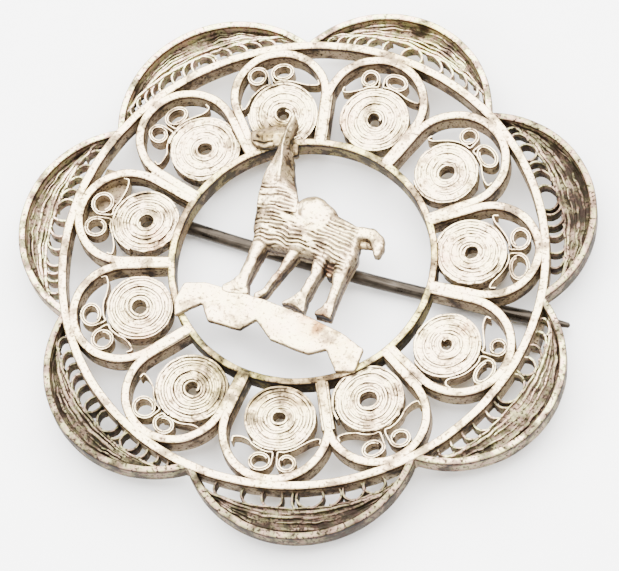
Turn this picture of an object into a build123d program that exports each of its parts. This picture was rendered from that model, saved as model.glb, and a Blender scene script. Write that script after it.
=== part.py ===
"""Silver filigree brooch: seven open petals round a ring of eleven coil cells, with a camel on a strip in the middle
and a hinged pin behind. Millimetres. +Z is the front, +X runs along the pin from hinge to point, z = 0 is the table."""

import os
from collections import namedtuple
from math import asin, atan2, cos, degrees, radians, sin, sqrt

from build123d import *

os.makedirs("parts", exist_ok=True)

# Heights
stand_off = 1.5
frame_height = 1.5
solder = 0.06
filigree_recess = 0.2
filigree_height = 1.1
rim_recess = 0.05
rim_height = 1.3
petal_fill_recess = 0.75
petal_fill_height = 0.5

# Rings and cells
outer_radius = 17.0
outer_strip = 0.6
inner_radius = 8.84
inner_strip = 0.5
arch_radius = 3.1
arch_strip = 0.65
arch_seat = 0.22
spoke_width = 1.15
coil_reach = 11.62
coil_radius = 2.42
coil_hole_radius = 0.52
curl_radius = 0.78
curl_eye_radius = 0.5
tail_turn = 62.0
tail_strip = 0.22

# Petals
petal_rim = 0.5
petal_eye_radius = 0.42
petal_eye_pitch = 1.35
petal_eyes = 5
petal_eye_gap = 0.36

# Strip that the camel stands on, and the camel
strip_length = 13.77
strip_depth = 3.78
strip_thickness = 0.5
strip_seat = 0.1
strip_corner = (-7.36, -7.4)
camel_height = 13.5
camel_foot = (0.0, -3.95)
camel_thickness = 1.35
camel_seat = 0.8
camel_relief = 0.45
camel_relief_share = 0.62
hump_radius = 1.3
hump_relief = 0.4
hump_slope = 40.0

# Pin, hinge and catch
pin_radius = 0.475
pin_height = 0.83
pin_line = 1.39
pin_bow = 0.68
pin_overhang = 1.75
pin_taper = 3.0
pin_point_radius = 0.2
hinge_inset = 2.1
eye_radius = 0.62
eye_width = 1.6
eye_side_gap = 0.08
rivet_radius = 0.3
rivet_running_gap = 0.04
rivet_seat_gap = 0.02
rivet_head_radius = 0.45
rivet_head_height = 0.2
ear_thickness = 1.0
hinge_plate_thickness = 0.35
hinge_plate_margin = 0.2
catch_length = 1.0
catch_wall = 0.55
catch_foot = 1.5
catch_bite = 0.3
catch_seat_gap = 0.09
catch_mouth_gap = 0.07

# Each cell, clockwise from the upper left: direction of its coil from the brooch's centre and the coil's share of
# coil_reach, direction of its arch and that arch's share of arch_radius, and where its two curls stand from the
# arch's centre, outward and to the left, as shares of the arch's radius.
Cell = namedtuple("Cell", "turn reach arch_turn arch_size left_out left_side right_out right_side")
cells = (
    Cell(146.9, 0.98, 148.4, 0.98, 0.52, 0.43, 0.54, -0.20),
    Cell(116.4, 0.99, 116.5, 0.94, 0.60, 0.40, 0.71, -0.18),
    Cell(84.0, 1.01, 86.2, 1.00, 0.57, 0.37, 0.70, -0.14),
    Cell(51.4, 1.01, 53.2, 1.03, 0.50, 0.24, 0.59, -0.35),
    Cell(19.6, 1.00, 19.8, 0.99, 0.63, 0.26, 0.63, -0.47),
    Cell(-15.2, 1.03, -13.4, 1.03, 0.66, 0.39, 0.81, -0.25),
    Cell(-47.4, 0.99, -47.5, 0.99, 0.74, 0.20, 0.67, -0.39),
    Cell(-78.1, 1.01, -78.7, 1.06, 0.68, 0.32, 0.68, -0.20),
    Cell(-109.9, 1.02, -112.9, 1.02, 0.71, 0.28, 0.60, -0.35),
    Cell(-146.3, 1.00, -145.9, 1.04, 0.54, 0.44, 0.63, -0.25),
    Cell(181.0, 0.99, 181.3, 0.99, 0.55, 0.37, 0.59, -0.21),
)

# Each petal, clockwise from the upper left: the directions of its two joints on the outer ring, and how far its rim
# reaches from the centre as a share of outer_radius.
Petal = namedtuple("Petal", "start end reach")
petals = (
    Petal(108.2, 159.8, 1.183),
    Petal(58.4, 108.2, 1.192),
    Petal(6.9, 58.4, 1.215),
    Petal(-43.9, 6.9, 1.220),
    Petal(-98.0, -43.9, 1.210),
    Petal(-150.1, -98.0, 1.191),
    Petal(-200.2, -150.1, 1.194),
)

# Outline of the strip from its upper left corner, clockwise, as shares of its length and depth.
Corner = namedtuple("Corner", "along up")
strip_outline = (
    Corner(0.014, 0.89),
    Corner(0.115, 1.00),
    Corner(0.44, 0.98),
    Corner(0.68, 0.89),
    Corner(0.85, 0.77),
    Corner(1.00, 0.56),
    Corner(0.995, 0.10),
    Corner(0.90, 0.00),
    Corner(0.82, 0.36),
    Corner(0.74, 0.18),
    Corner(0.535, 0.26),
    Corner(0.43, 0.56),
    Corner(0.37, 0.29),
    Corner(0.20, 0.29),
    Corner(0.14, 0.58),
    Corner(0.03, 0.21),
    Corner(0.00, 0.50),
)

# The camel, facing left: each bone runs from one round to the next. Places are from camel_foot, and everything is a
# share of camel_height.
Bone = namedtuple("Bone", "along_a up_a round_a along_b up_b round_b")
camel_bones = (
    Bone(-0.455, 0.918, 0.030, -0.300, 0.945, 0.050),
    Bone(-0.440, 0.895, 0.018, -0.330, 0.885, 0.036),
    Bone(-0.303, 1.010, 0.015, -0.283, 0.940, 0.028),
    Bone(-0.290, 0.925, 0.048, -0.265, 0.800, 0.056),
    Bone(-0.265, 0.800, 0.056, -0.245, 0.680, 0.082),
    Bone(-0.245, 0.680, 0.082, -0.215, 0.520, 0.105),
    Bone(-0.215, 0.520, 0.105, -0.165, 0.400, 0.104),
    Bone(-0.165, 0.400, 0.104, 0.110, 0.415, 0.113),
    Bone(0.110, 0.415, 0.113, 0.190, 0.400, 0.096),
    Bone(-0.018, 0.535, 0.098, 0.060, 0.500, 0.110),
    Bone(0.160, 0.440, 0.070, 0.240, 0.475, 0.036),
    Bone(0.240, 0.475, 0.036, 0.325, 0.494, 0.028),
    Bone(0.325, 0.494, 0.028, 0.366, 0.465, 0.027),
    Bone(0.366, 0.465, 0.027, 0.374, 0.408, 0.018),
    Bone(-0.232, 0.350, 0.052, -0.218, 0.190, 0.034),
    Bone(-0.218, 0.190, 0.034, -0.250, 0.045, 0.042),
    Bone(-0.045, 0.335, 0.036, -0.090, 0.175, 0.024),
    Bone(-0.090, 0.175, 0.024, -0.138, 0.025, 0.026),
    Bone(0.115, 0.325, 0.052, 0.100, 0.195, 0.032),
    Bone(0.100, 0.195, 0.032, 0.066, 0.030, 0.034),
    Bone(0.066, 0.065, 0.030, 0.004, 0.060, 0.020),
    Bone(0.215, 0.340, 0.056, 0.238, 0.200, 0.036),
    Bone(0.238, 0.200, 0.036, 0.212, 0.012, 0.038),
    Bone(0.212, 0.055, 0.034, 0.168, 0.040, 0.024),
)
camel_hump = (-0.010, 0.545)

# Heights and radii that follow
frame_top = stand_off + frame_height
filigree_bottom = frame_top - filigree_recess - filigree_height
rim_bottom = frame_top - rim_recess - rim_height
petal_fill_bottom = frame_top - petal_fill_recess - petal_fill_height
ring_inside = outer_radius - outer_strip
ring_middle = outer_radius - outer_strip / 2
inner_ring_outside = inner_radius + inner_strip
inner_ring_middle = inner_radius + inner_strip / 2
arch_top = ring_inside + arch_seat - arch_strip
ear_radius = pin_height
hinge_x = hinge_inset - outer_radius
pin_tip_x = outer_radius + pin_overhang
catch_x = ring_middle


def arch_inside(cell):
    """The radius inside a cell's arch."""
    return arch_radius * cell.arch_size


def arch_distance(cell):
    """How far the centre of a cell's arch is from the brooch's centre."""
    return arch_top - arch_inside(cell)


def arch_place(cell):
    """The centre of a cell's arch."""
    return Vector(arch_distance(cell), 0).rotate(Axis.Z, cell.arch_turn)


def coil_place(cell):
    """The centre of a cell's coil."""
    return Vector(coil_reach * cell.reach, 0).rotate(Axis.Z, cell.turn)


def curl_shares(cell):
    """Where a cell's two curls stand from the arch's centre, outward and to the left."""
    return ((cell.left_out, cell.left_side), (cell.right_out, cell.right_side))


def curl_place(cell, out, side):
    """The centre of one curl."""
    from_arch = Vector(out, side) * arch_inside(cell)
    return arch_place(cell) + from_arch.rotate(Axis.Z, cell.arch_turn)


def arch_slope(cell):
    """The angle between an arch's direction and the line of its leg inside, in degrees."""
    return degrees(asin(arch_inside(cell) / arch_distance(cell)))


def reach_to_arch(cell, start, turn):
    """How far it is from a place in a cell to the middle of its arch's strip, in a direction."""
    across = arch_place(cell) - start
    ahead = across.dot(Vector(1, 0).rotate(Axis.Z, turn))
    middle = arch_inside(cell) + arch_strip / 2
    return ahead + sqrt(ahead**2 + middle**2 - across.dot(across))


def arch_face(cell, strip):
    """An arch's round and its two legs, which run in to the brooch's centre, grown outward by strip."""
    radius = arch_inside(cell) + strip
    distance = arch_distance(cell)
    reach = sqrt(distance**2 - radius**2)
    turn = asin(radius / distance)
    left = (reach * cos(turn), reach * sin(turn))
    right = (left[0], -left[1])
    with BuildSketch() as face:
        with BuildLine():
            Line((0, 0), left)
            ThreePointArc(left, (distance + radius, 0), right)
            Line(right, (0, 0))
        make_face()
    return face.sketch


def ring_face(outside, inside):
    """A flat ring round the brooch's centre."""
    with BuildSketch() as ring:
        Circle(outside)
        Circle(inside, mode=Mode.SUBTRACT)
    return ring.sketch


def petal_circle(petal):
    """Direction of a petal, distance of its circle's centre and that circle's radius, from joints to apex."""
    middle = (petal.start + petal.end) / 2
    half = radians(petal.end - petal.start) / 2
    joint_along, joint_side = outer_radius * cos(half), outer_radius * sin(half)
    rise = petal.reach * outer_radius - joint_along
    radius = (rise**2 + joint_side**2) / (2 * rise)
    return middle, petal.reach * outer_radius - radius, radius


def petal_discs(inset):
    """All the petals as full discs, smaller than the rims by inset."""
    with BuildSketch() as discs:
        for petal in petals:
            middle, distance, radius = petal_circle(petal)
            with PolarLocations(distance, 1, start_angle=middle):
                Circle(radius - inset)
    return discs.sketch


def camel_point(along, up):
    """A place on the camel, from shares of its height."""
    return (camel_foot[0] + along * camel_height, camel_foot[1] + up * camel_height)


def bone_face(bone, share):
    """One bone of the camel as a face, its rounds made smaller by share."""
    with BuildSketch() as face:
        with Locations(camel_point(bone.along_a, bone.up_a)):
            Circle(bone.round_a * camel_height * share)
        with Locations(camel_point(bone.along_b, bone.up_b)):
            Circle(bone.round_b * camel_height * share)
        make_hull()
    return face.sketch


def camel_face(share):
    """The camel's outline, or a thinner one inside it."""
    with BuildSketch() as figure:
        for bone in camel_bones:
            add(bone_face(bone, share))
    return figure.sketch


def pin_side(x):
    """Where the bowed pin is across the brooch, at a place along it."""
    middle = (hinge_x + pin_tip_x) / 2
    share = (x - middle) / (pin_tip_x - middle)
    return pin_line - pin_bow * (1 - share**2)


# Rings, arches and the spokes between them
with BuildSketch() as frame_face:
    for cell, after in zip(cells, cells[1:] + cells[:1]):
        with Locations(Location((0, 0, 0), (0, 0, cell.arch_turn))):
            add(arch_face(cell, arch_strip))
        near_side = cell.arch_turn - arch_slope(cell)
        far_side = after.arch_turn + arch_slope(after)
        spoke_turn = near_side - ((near_side - far_side) % 360) / 2
        spoke_length = arch_distance(cell) - inner_ring_middle
        with Locations(Location((0, 0, 0), (0, 0, spoke_turn))):
            with Locations((inner_ring_middle + spoke_length / 2, 0)):
                Rectangle(spoke_length, spoke_width)
    for cell in cells:
        with Locations(Location((0, 0, 0), (0, 0, cell.arch_turn))):
            add(arch_face(cell, 0), mode=Mode.SUBTRACT)
    Circle(inner_ring_middle, mode=Mode.SUBTRACT)
    add(ring_face(outer_radius, ring_inside))
    add(ring_face(inner_ring_outside, inner_radius))

# Coils, and the curls beside them on stems and tails that reach the arch
with BuildSketch() as filigree_face:
    for cell in cells:
        coil = coil_place(cell)
        with Locations(coil):
            Circle(coil_radius)
        for turn in (cell.turn - tail_turn, cell.turn + tail_turn):
            with Locations(Location(coil, (0, 0, turn))):
                Rectangle(reach_to_arch(cell, coil, turn), tail_strip, align=(Align.MIN, Align.CENTER))
        for out, side in curl_shares(cell):
            curl = curl_place(cell, out, side)
            turn = cell.arch_turn + degrees(atan2(side, out))
            with Locations(curl):
                Circle(curl_radius)
            with Locations(Location(curl, (0, 0, turn))):
                Rectangle(reach_to_arch(cell, curl, turn), tail_strip, align=(Align.MIN, Align.CENTER))
    for cell in cells:
        with Locations(coil_place(cell)):
            Circle(coil_hole_radius, mode=Mode.SUBTRACT)
        with Locations(*[curl_place(cell, out, side) for out, side in curl_shares(cell)]):
            Circle(curl_eye_radius, mode=Mode.SUBTRACT)

# Petals: rims, and the sunk fill with its row of eyes against the ring
with BuildSketch() as rim_face:
    add(petal_discs(0))
    add(petal_discs(petal_rim), mode=Mode.SUBTRACT)
    Circle(ring_middle, mode=Mode.SUBTRACT)

with BuildSketch() as petal_fill_face:
    add(petal_discs(petal_rim - solder))
    Circle(ring_middle, mode=Mode.SUBTRACT)
    eye_distance = outer_radius + petal_eye_gap + petal_eye_radius
    eye_turn = degrees(petal_eye_pitch / eye_distance)
    eyes_range = eye_turn * (petal_eyes - 1)
    for petal in petals:
        first = (petal.start + petal.end - eyes_range) / 2
        with PolarLocations(eye_distance, petal_eyes, start_angle=first, angular_range=eyes_range):
            Circle(petal_eye_radius, mode=Mode.SUBTRACT)

# The strip, and the camel whole and thinned for its raised middle
with BuildSketch() as strip_face:
    with BuildLine():
        x, y = strip_corner
        Polyline(*[(x + c.along * strip_length, y + c.up * strip_depth) for c in strip_outline], close=True)
    make_face()

camel_full = camel_face(1.0)
camel_raised = camel_face(camel_relief_share)

# An ear of the hinge, and the section of the catch, seen along the pin
with BuildSketch(Plane.XZ) as ear_face:
    with Locations((hinge_x, pin_height)):
        Circle(ear_radius)
        Rectangle(2 * ear_radius, stand_off + solder - pin_height, align=(Align.CENTER, Align.MIN))
        Circle(rivet_radius + rivet_seat_gap, mode=Mode.SUBTRACT)

ears_width = eye_width + 2 * eye_side_gap + 2 * ear_thickness
catch_side = pin_side(catch_x)
seat_radius = pin_radius + catch_seat_gap
with BuildSketch(Plane.YZ.offset(catch_x - catch_length / 2)) as catch_face:
    low = catch_side - seat_radius - catch_foot
    high = catch_side + seat_radius + catch_wall
    with Locations((low, 0)):
        Rectangle(high - low, stand_off + catch_bite, align=(Align.MIN, Align.MIN))
    with Locations((catch_side, pin_height)):
        Circle(seat_radius, mode=Mode.SUBTRACT)
        Rectangle(
            2 * (pin_radius + catch_mouth_gap), pin_height, align=(Align.CENTER, Align.MAX), mode=Mode.SUBTRACT
        )

with BuildPart() as filigree_body:
    with BuildSketch(Plane.XY.offset(stand_off)):
        add(frame_face.sketch)
    extrude(amount=frame_height)
    with BuildSketch(Plane.XY.offset(filigree_bottom)):
        add(filigree_face.sketch)
    extrude(amount=filigree_height)
    with BuildSketch(Plane.XY.offset(rim_bottom)):
        add(rim_face.sketch)
    extrude(amount=rim_height)
    with BuildSketch(Plane.XY.offset(petal_fill_bottom)):
        add(petal_fill_face.sketch)
    extrude(amount=petal_fill_height)
    with BuildSketch(Plane.XY.offset(frame_top - strip_seat)):
        add(strip_face.sketch)
    extrude(amount=strip_thickness)
    with BuildSketch(Plane.XY.offset(frame_top - camel_seat)):
        add(camel_full)
    extrude(amount=camel_thickness)
    camel_top = frame_top - camel_seat + camel_thickness
    with BuildSketch(Plane.XY.offset(camel_top - solder)):
        add(camel_raised)
    extrude(amount=solder + camel_relief)
    with BuildSketch(Plane.XY.offset(camel_top + camel_relief - solder)):
        with Locations(camel_point(*camel_hump)):
            Circle(hump_radius)
    extrude(amount=solder + hump_relief, taper=hump_slope)
    with BuildSketch(Plane.XY.offset(stand_off)):
        with Locations((hinge_x, pin_line)):
            Rectangle(2 * (ear_radius + hinge_plate_margin), ears_width)
    extrude(amount=hinge_plate_thickness)
    for ear_side in (-1, 1):
        ear_middle = pin_line + ear_side * (eye_width / 2 + eye_side_gap + ear_thickness / 2)
        with BuildSketch(Plane.XZ.offset(-ear_middle)):
            add(ear_face.sketch_local)
        extrude(amount=ear_thickness / 2, both=True)
    with BuildSketch(Plane.YZ.offset(catch_x - catch_length / 2)):
        add(catch_face.sketch_local)
    extrude(amount=catch_length)
filigree_body.part.label = "filigree_body"

# The pin: a round stem on a gentle bow, a point, and a drilled eye that turns on the rivet
with BuildPart() as pin_stem:
    with BuildLine():
        taper_x = pin_tip_x - pin_taper
        halfway_x = (hinge_x + taper_x) / 2
        stem_line = ThreePointArc(
            (hinge_x, pin_side(hinge_x), pin_height),
            (halfway_x, pin_side(halfway_x), pin_height),
            (taper_x, pin_side(taper_x), pin_height),
        )
    with BuildSketch(Plane(origin=stem_line @ 0, z_dir=stem_line % 0)):
        Circle(pin_radius)
    sweep(path=stem_line)
    point_start = stem_line @ 1
    point_way = stem_line % 1
    point_end = point_start + point_way * (pin_taper - pin_point_radius)
    with BuildSketch(Plane(origin=point_start, z_dir=point_way)):
        Circle(pin_radius)
    with BuildSketch(Plane(origin=point_end, z_dir=point_way)):
        Circle(pin_point_radius)
    loft()
    with Locations(point_end):
        Sphere(pin_point_radius)
    with BuildSketch(Plane.XZ.offset(-pin_line)):
        with Locations((hinge_x, pin_height)):
            Circle(eye_radius)
    extrude(amount=eye_width / 2, both=True)
    with BuildSketch(Plane.XZ.offset(-pin_line)):
        with Locations((hinge_x, pin_height)):
            Circle(rivet_radius + rivet_running_gap)
    extrude(amount=eye_width, both=True, mode=Mode.SUBTRACT)
pin_stem.part.label = "pin_stem"

with BuildPart() as hinge_rivet:
    rivet_half = ears_width / 2 + rivet_seat_gap
    with BuildSketch(Plane.XZ.offset(-pin_line)):
        with Locations((hinge_x, pin_height)):
            Circle(rivet_radius)
    extrude(amount=rivet_half + rivet_head_height, both=True)
    for head_start in (-rivet_half - rivet_head_height, rivet_half):
        with BuildSketch(Plane.XZ.offset(-pin_line + head_start)):
            with Locations((hinge_x, pin_height)):
                Circle(rivet_head_radius)
        extrude(amount=rivet_head_height)
hinge_rivet.part.label = "hinge_rivet"

export_step(filigree_body.part, "parts/filigree_body.step")
export_step(pin_stem.part, "parts/pin_stem.step")
export_step(hinge_rivet.part, "parts/hinge_rivet.step")
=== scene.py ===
"""The silver filigree brooch dressed over its CAD model: strips and ribbons on edge, coils, curls, petal
wires and scrolls, a ragged strip of sheet and a cast camel. Sizes are in millimetres and become metres when a
piece is made."""

from collections import namedtuple
from math import asin, atan2, cos, degrees, hypot, pi, radians, sin, sqrt

import bmesh
import bpy
import numpy as np
from mathutils import Matrix, Vector, noise


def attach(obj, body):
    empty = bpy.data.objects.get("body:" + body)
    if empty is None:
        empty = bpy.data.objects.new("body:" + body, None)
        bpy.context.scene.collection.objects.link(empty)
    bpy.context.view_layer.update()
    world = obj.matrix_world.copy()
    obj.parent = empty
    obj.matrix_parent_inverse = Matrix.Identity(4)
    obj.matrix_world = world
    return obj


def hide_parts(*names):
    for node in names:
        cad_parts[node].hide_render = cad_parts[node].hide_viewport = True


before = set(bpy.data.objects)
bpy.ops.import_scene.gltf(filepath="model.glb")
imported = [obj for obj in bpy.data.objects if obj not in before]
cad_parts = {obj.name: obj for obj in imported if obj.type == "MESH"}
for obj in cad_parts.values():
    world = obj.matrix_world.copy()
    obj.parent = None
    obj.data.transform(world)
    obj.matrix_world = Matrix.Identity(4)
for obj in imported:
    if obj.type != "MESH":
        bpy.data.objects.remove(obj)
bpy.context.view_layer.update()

MM = 0.001

# Without a seed the noise that moves the corners would differ from run to run
noise.seed_set(1)

# Heights
stand_off = 1.5
ring_top = 3.0
rim_recess = 0.05
rim_height = 1.3
filigree_recess = 0.2
filigree_height = 1.1

# Rings and cells
outer_radius = 17.0
outer_strip = 0.6
inner_radius = 8.84
inner_strip = 0.5
arch_radius = 3.1
arch_strip = 0.6
arch_seat = 0.22
arch_setback = 0.65
spoke_width = 0.9
spoke_recess = 0.08
spoke_lap = 0.4
coil_reach = 11.62
coil_radius = 2.42
coil_turn_width = 0.215
coil_ribbon = 0.17
coil_points = 56
solder_room = 0.22
solder_gap = 0.06
ribbon = 0.11
curl_turn_width = 0.165
curl_turns = 1.75
curl_winding = 690
curl_lift = 0.03

# Petals
petal_rim = 0.48
petal_wires = 6
wire_width = 0.16
wire_height = 0.38
wire_wave = 0.12
wire_rise = 0.17
wire_fall = 0.14
bed_recess = 0.74
bed_fall = 0.34
bed_floor = 0.14
bed_roughness = 0.10
scroll_row = 1.15
scroll_ribbon = 0.15
scroll_height = 1.0
scroll_recess = 0.52
scroll_fall = 0.08

# Strip under the camel, and the camel
strip_length = 13.77
strip_depth = 3.78
strip_thickness = 0.5
strip_seat = 0.1
strip_corner = (-7.36, -7.4)
camel_height = 13.5
camel_foot = (0.0, -3.95)
camel_back = 2.2
tail_back = 3.0
strip_grain = 0.08
camel_grain = 0.055

# Pin, hinge and catch
pin_height = 0.83
pin_line = 1.39
hinge_x = -14.9
ear_radius = 0.83
ear_thickness = 1.0
ear_gap = 1.76
rivet_hole_radius = 0.32
hinge_plate_width = 2.06
hinge_plate_thickness = 0.35
catch_x = 16.7
catch_side = 0.98
catch_length = 1.0
catch_top = 1.8
catch_low = -0.9
catch_high = 2.1
catch_seat_radius = 0.565
catch_mouth = 0.545

# Camera: its turns in degrees, where the rings' tops are before it, its sensor's width, its focal length and
# the photo's width in pixels. The lights are so many metres away.
view_tilt = -25.26
view_lean = -6.79
view_spin = -19.57
view_middle = (-0.506, 1.778, -285.3)
sensor_width = 36.0
focal_pixels = 4161
photo_width = 619
light_distance = 0.5

# Each cell, clockwise from the upper left: direction of its coil, the coil's shares of coil_reach and
# coil_radius, the radius of its hole, how far its inner end turns in, in radians, how deep the lines
# between its turns are, the direction of its arch and its share of arch_radius, and its two curls. A curl
# has its middle so far to the left and out from the brooch's centre, and is half so wide and tall; its tail
# leaves the coil's edge so many degrees from the cell's direction, and ends so far left and out.
Cell = namedtuple("Cell", "turn reach size hole hook line arch_turn arch_size left right")
Curl = namedtuple("Curl", "side out wide tall leave end_side end_out")
cells = (
    Cell(146.9, 0.98, 1.06, 0.56, 0.0, 0.05, 148.4, 0.98,
         Curl(1.75, 14.42, 0.75, 0.82, 58, 3.20, 12.55), Curl(-0.07, 14.70, 0.92, 0.76, -24, -2.15, 13.75)),
    Cell(116.4, 0.99, 1.06, 0.60, 1.4, 0.05, 116.5, 0.94,
         Curl(1.42, 14.78, 0.78, 0.80, 62, 2.80, 12.40), Curl(-0.38, 14.80, 0.88, 0.74, -25, -2.70, 13.40)),
    Cell(84.0, 1.01, 1.05, 0.62, 1.8, 0.06, 86.2, 1.00,
         Curl(1.66, 14.52, 0.72, 0.75, 50, 3.05, 12.95), Curl(-0.18, 14.90, 0.94, 0.72, -22, -2.22, 14.05)),
    Cell(51.4, 1.01, 0.99, 0.62, 0.6, 0.05, 53.2, 1.03,
         Curl(1.42, 14.52, 0.74, 0.76, 60, 2.90, 12.10), Curl(-0.60, 14.72, 1.04, 0.76, -30, -2.45, 13.55)),
    Cell(19.6, 1.00, 1.06, 0.52, 0.0, 0.06, 19.8, 0.99,
         Curl(0.86, 14.95, 0.90, 0.80, 40, 2.65, 13.15), Curl(-1.30, 14.85, 1.08, 0.80, -55, -2.75, 12.85)),
    Cell(-15.2, 1.03, 1.02, 0.46, 0.8, 0.06, -13.4, 1.03,
         Curl(1.68, 15.02, 0.72, 0.72, 55, 3.10, 13.10), Curl(-0.34, 15.24, 1.08, 0.72, -60, -2.50, 13.60)),
    Cell(-47.4, 0.99, 1.04, 0.66, 0.0, 0.08, -47.5, 0.99,
         Curl(0.80, 15.02, 0.80, 0.74, 50, 2.95, 13.10), Curl(-1.18, 14.95, 0.88, 0.72, -50, -2.95, 13.15)),
    Cell(-78.1, 1.01, 1.04, 0.50, 0.0, 0.08, -78.7, 1.06,
         Curl(0.94, 15.00, 0.72, 0.72, 50, 2.95, 13.10), Curl(-0.92, 14.98, 0.86, 0.76, -48, -2.95, 13.35)),
    Cell(-109.9, 1.02, 1.07, 0.62, 1.6, 0.10, -112.9, 1.02,
         Curl(0.15, 15.05, 0.84, 0.74, 28, 2.30, 13.88), Curl(-1.76, 14.86, 0.94, 0.88, -55, -3.35, 13.00)),
    Cell(-146.3, 1.00, 1.02, 0.58, 0.0, 0.09, -145.9, 1.04,
         Curl(1.62, 14.62, 0.86, 0.86, 52, 3.00, 12.90), Curl(-0.45, 14.94, 0.95, 0.82, -45, -2.92, 13.30)),
    Cell(181.0, 0.99, 1.01, 0.56, 0.6, 0.08, 181.3, 0.99,
         Curl(1.32, 14.76, 0.83, 0.88, 45, 2.95, 13.00), Curl(-0.55, 14.90, 0.92, 0.88, -25, -2.68, 13.75)),
)

# Each petal, clockwise from the upper left: the directions of its two joints on the outer ring, how far its
# rim reaches as a share of outer_radius, how dull its silver is, and its scrolls as pairs of places along the
# ring, of the foot and of the head, in millimetres to the left of the petal's middle.
Petal = namedtuple("Petal", "start end reach dull scrolls")
petals = (
    Petal(108.2, 159.8, 1.183, 0.0, (
        (5.9, 5.6), (5.2, 4.9), (4.5, 4.0), (3.9, 3.4), (3.3, 2.6), (2.2, 1.7), (1.3, 0.8), (0.6, 0.3),
        (-0.8, -0.3), (-1.0, -0.6), (-2.1, -1.7), (-3.2, -2.6), (-4.2, -3.5), (-5.2, -4.6))),
    Petal(58.4, 108.2, 1.192, 0.02, (
        (6.0, 5.8), (5.3, 5.0), (4.6, 4.3), (4.1, 3.6), (3.2, 2.8), (2.1, 1.9), (0.7, 0.1), (-0.6, 0.0),
        (-2.2, -1.3), (-3.1, -2.2), (-4.3, -3.7), (-5.3, -4.9))),
    Petal(6.9, 58.4, 1.215, 0.36, (
        (6.0, 5.6), (5.4, 4.9), (4.4, 3.9), (3.3, 3.7), (2.9, 2.4), (2.2, 1.6), (1.0, 0.4), (-0.7, -0.1),
        (-1.1, -0.7), (-2.0, -1.6), (-2.8, -2.3), (-4.0, -3.7), (-5.1, -4.6))),
    Petal(-43.9, 6.9, 1.220, 0.22, (
        (6.1, 5.5), (5.1, 4.6), (4.1, 3.6), (3.1, 2.7), (2.0, 2.4), (1.7, 1.1), (-0.3, 0.3), (-0.7, -0.4),
        (-1.6, -1.3), (-2.8, -2.4), (-3.8, -3.3), (-4.8, -4.3), (-5.8, -5.3))),
    Petal(-98.0, -43.9, 1.210, 0.45, (
        (5.6, 5.1), (4.3, 4.7), (4.1, 3.6), (2.9, 3.3), (2.6, 2.1), (1.4, 0.8), (-0.2, 0.3), (-0.5, -0.4),
        (-1.3, -1.6), (-2.5, -2.1), (-3.9, -3.4), (-5.8, -5.6))),
    Petal(-150.1, -98.0, 1.191, 0.36, (
        (6.2, 5.8), (5.4, 5.0), (4.5, 4.2), (3.7, 3.2), (2.6, 3.0), (2.4, 2.0), (1.7, 1.2), (0.3, 0.8),
        (-0.2, -0.5), (-1.0, -0.7), (-2.1, -1.7), (-3.0, -2.4), (-3.9, -3.2), (-4.9, -4.3), (-6.0, -5.6))),
    Petal(-200.2, -150.1, 1.194, 0.10, (
        (5.6, 5.3), (4.7, 4.4), (4.1, 3.8), (3.5, 3.1), (2.3, 1.9), (1.3, 0.9), (0.1, 0.0), (-1.4, -0.9),
        (-2.2, -1.7), (-3.2, -2.6), (-4.2, -3.6), (-5.5, -5.0))),
)

# Outline of the strip from its upper left corner, clockwise, as shares of its length and depth
strip_outline = (
    (0.014, 0.89), (0.115, 1.00), (0.44, 0.98), (0.68, 0.89), (0.85, 0.77), (1.00, 0.56),
    (0.995, 0.10), (0.90, 0.00), (0.82, 0.36), (0.74, 0.18), (0.535, 0.26), (0.43, 0.56),
    (0.37, 0.29), (0.20, 0.29), (0.14, 0.58), (0.03, 0.21), (0.00, 0.50),
)

# The camel, facing left: chains of joints for its trunk, rump, hump, the solder at its neck, its legs and the
# web between its hind legs. Places, from camel_foot, and rounds are shares of camel_height. Tops are over the
# rings' tops, in millimetres.
Joint = namedtuple("Joint", "along up round top")
camel_chains = (
    (Joint(-0.212, 0.520, 0.103, 1.20), Joint(-0.182, 0.410, 0.113, 1.20),
     Joint(0.050, 0.428, 0.124, 1.24), Joint(0.160, 0.418, 0.108, 1.14),
     Joint(0.198, 0.370, 0.078, 1.08)),
    (Joint(0.090, 0.495, 0.066, 1.14), Joint(0.230, 0.486, 0.036, 0.95)),
    (Joint(-0.022, 0.535, 0.094, 1.34), Joint(0.020, 0.508, 0.102, 1.33)),
    (Joint(-0.254, 0.886, 0.024, 0.10), Joint(-0.240, 0.862, 0.017, -0.08)),
    (Joint(-0.226, 0.340, 0.044, 0.98), Joint(-0.236, 0.200, 0.030, 0.76),
     Joint(-0.248, 0.090, 0.030, 0.66)),
    (Joint(-0.040, 0.330, 0.030, 0.72), Joint(-0.076, 0.200, 0.017, 0.50),
     Joint(-0.120, 0.065, 0.016, 0.42), Joint(-0.150, 0.030, 0.018, 0.42)),
    (Joint(0.106, 0.330, 0.046, 1.02), Joint(0.102, 0.205, 0.021, 0.80),
     Joint(0.084, 0.115, 0.025, 0.66)),
    (Joint(0.222, 0.330, 0.050, 1.02), Joint(0.228, 0.200, 0.027, 0.80),
     Joint(0.228, 0.100, 0.024, 0.62)),
    (Joint(0.150, 0.320, 0.034, 0.60), Joint(0.168, 0.250, 0.020, 0.36)),
)

# Its tail, which stands free, and the web under it
tail_chains = (
    (Joint(0.200, 0.478, 0.044, 1.05), Joint(0.250, 0.498, 0.033, 0.95), Joint(0.310, 0.503, 0.036, 0.92),
     Joint(0.348, 0.480, 0.037, 0.88), Joint(0.360, 0.450, 0.031, 0.80),
     Joint(0.366, 0.416, 0.020, 0.70)),
    (Joint(0.262, 0.455, 0.034, 0.40), Joint(0.318, 0.458, 0.024, 0.34)),
)

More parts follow.
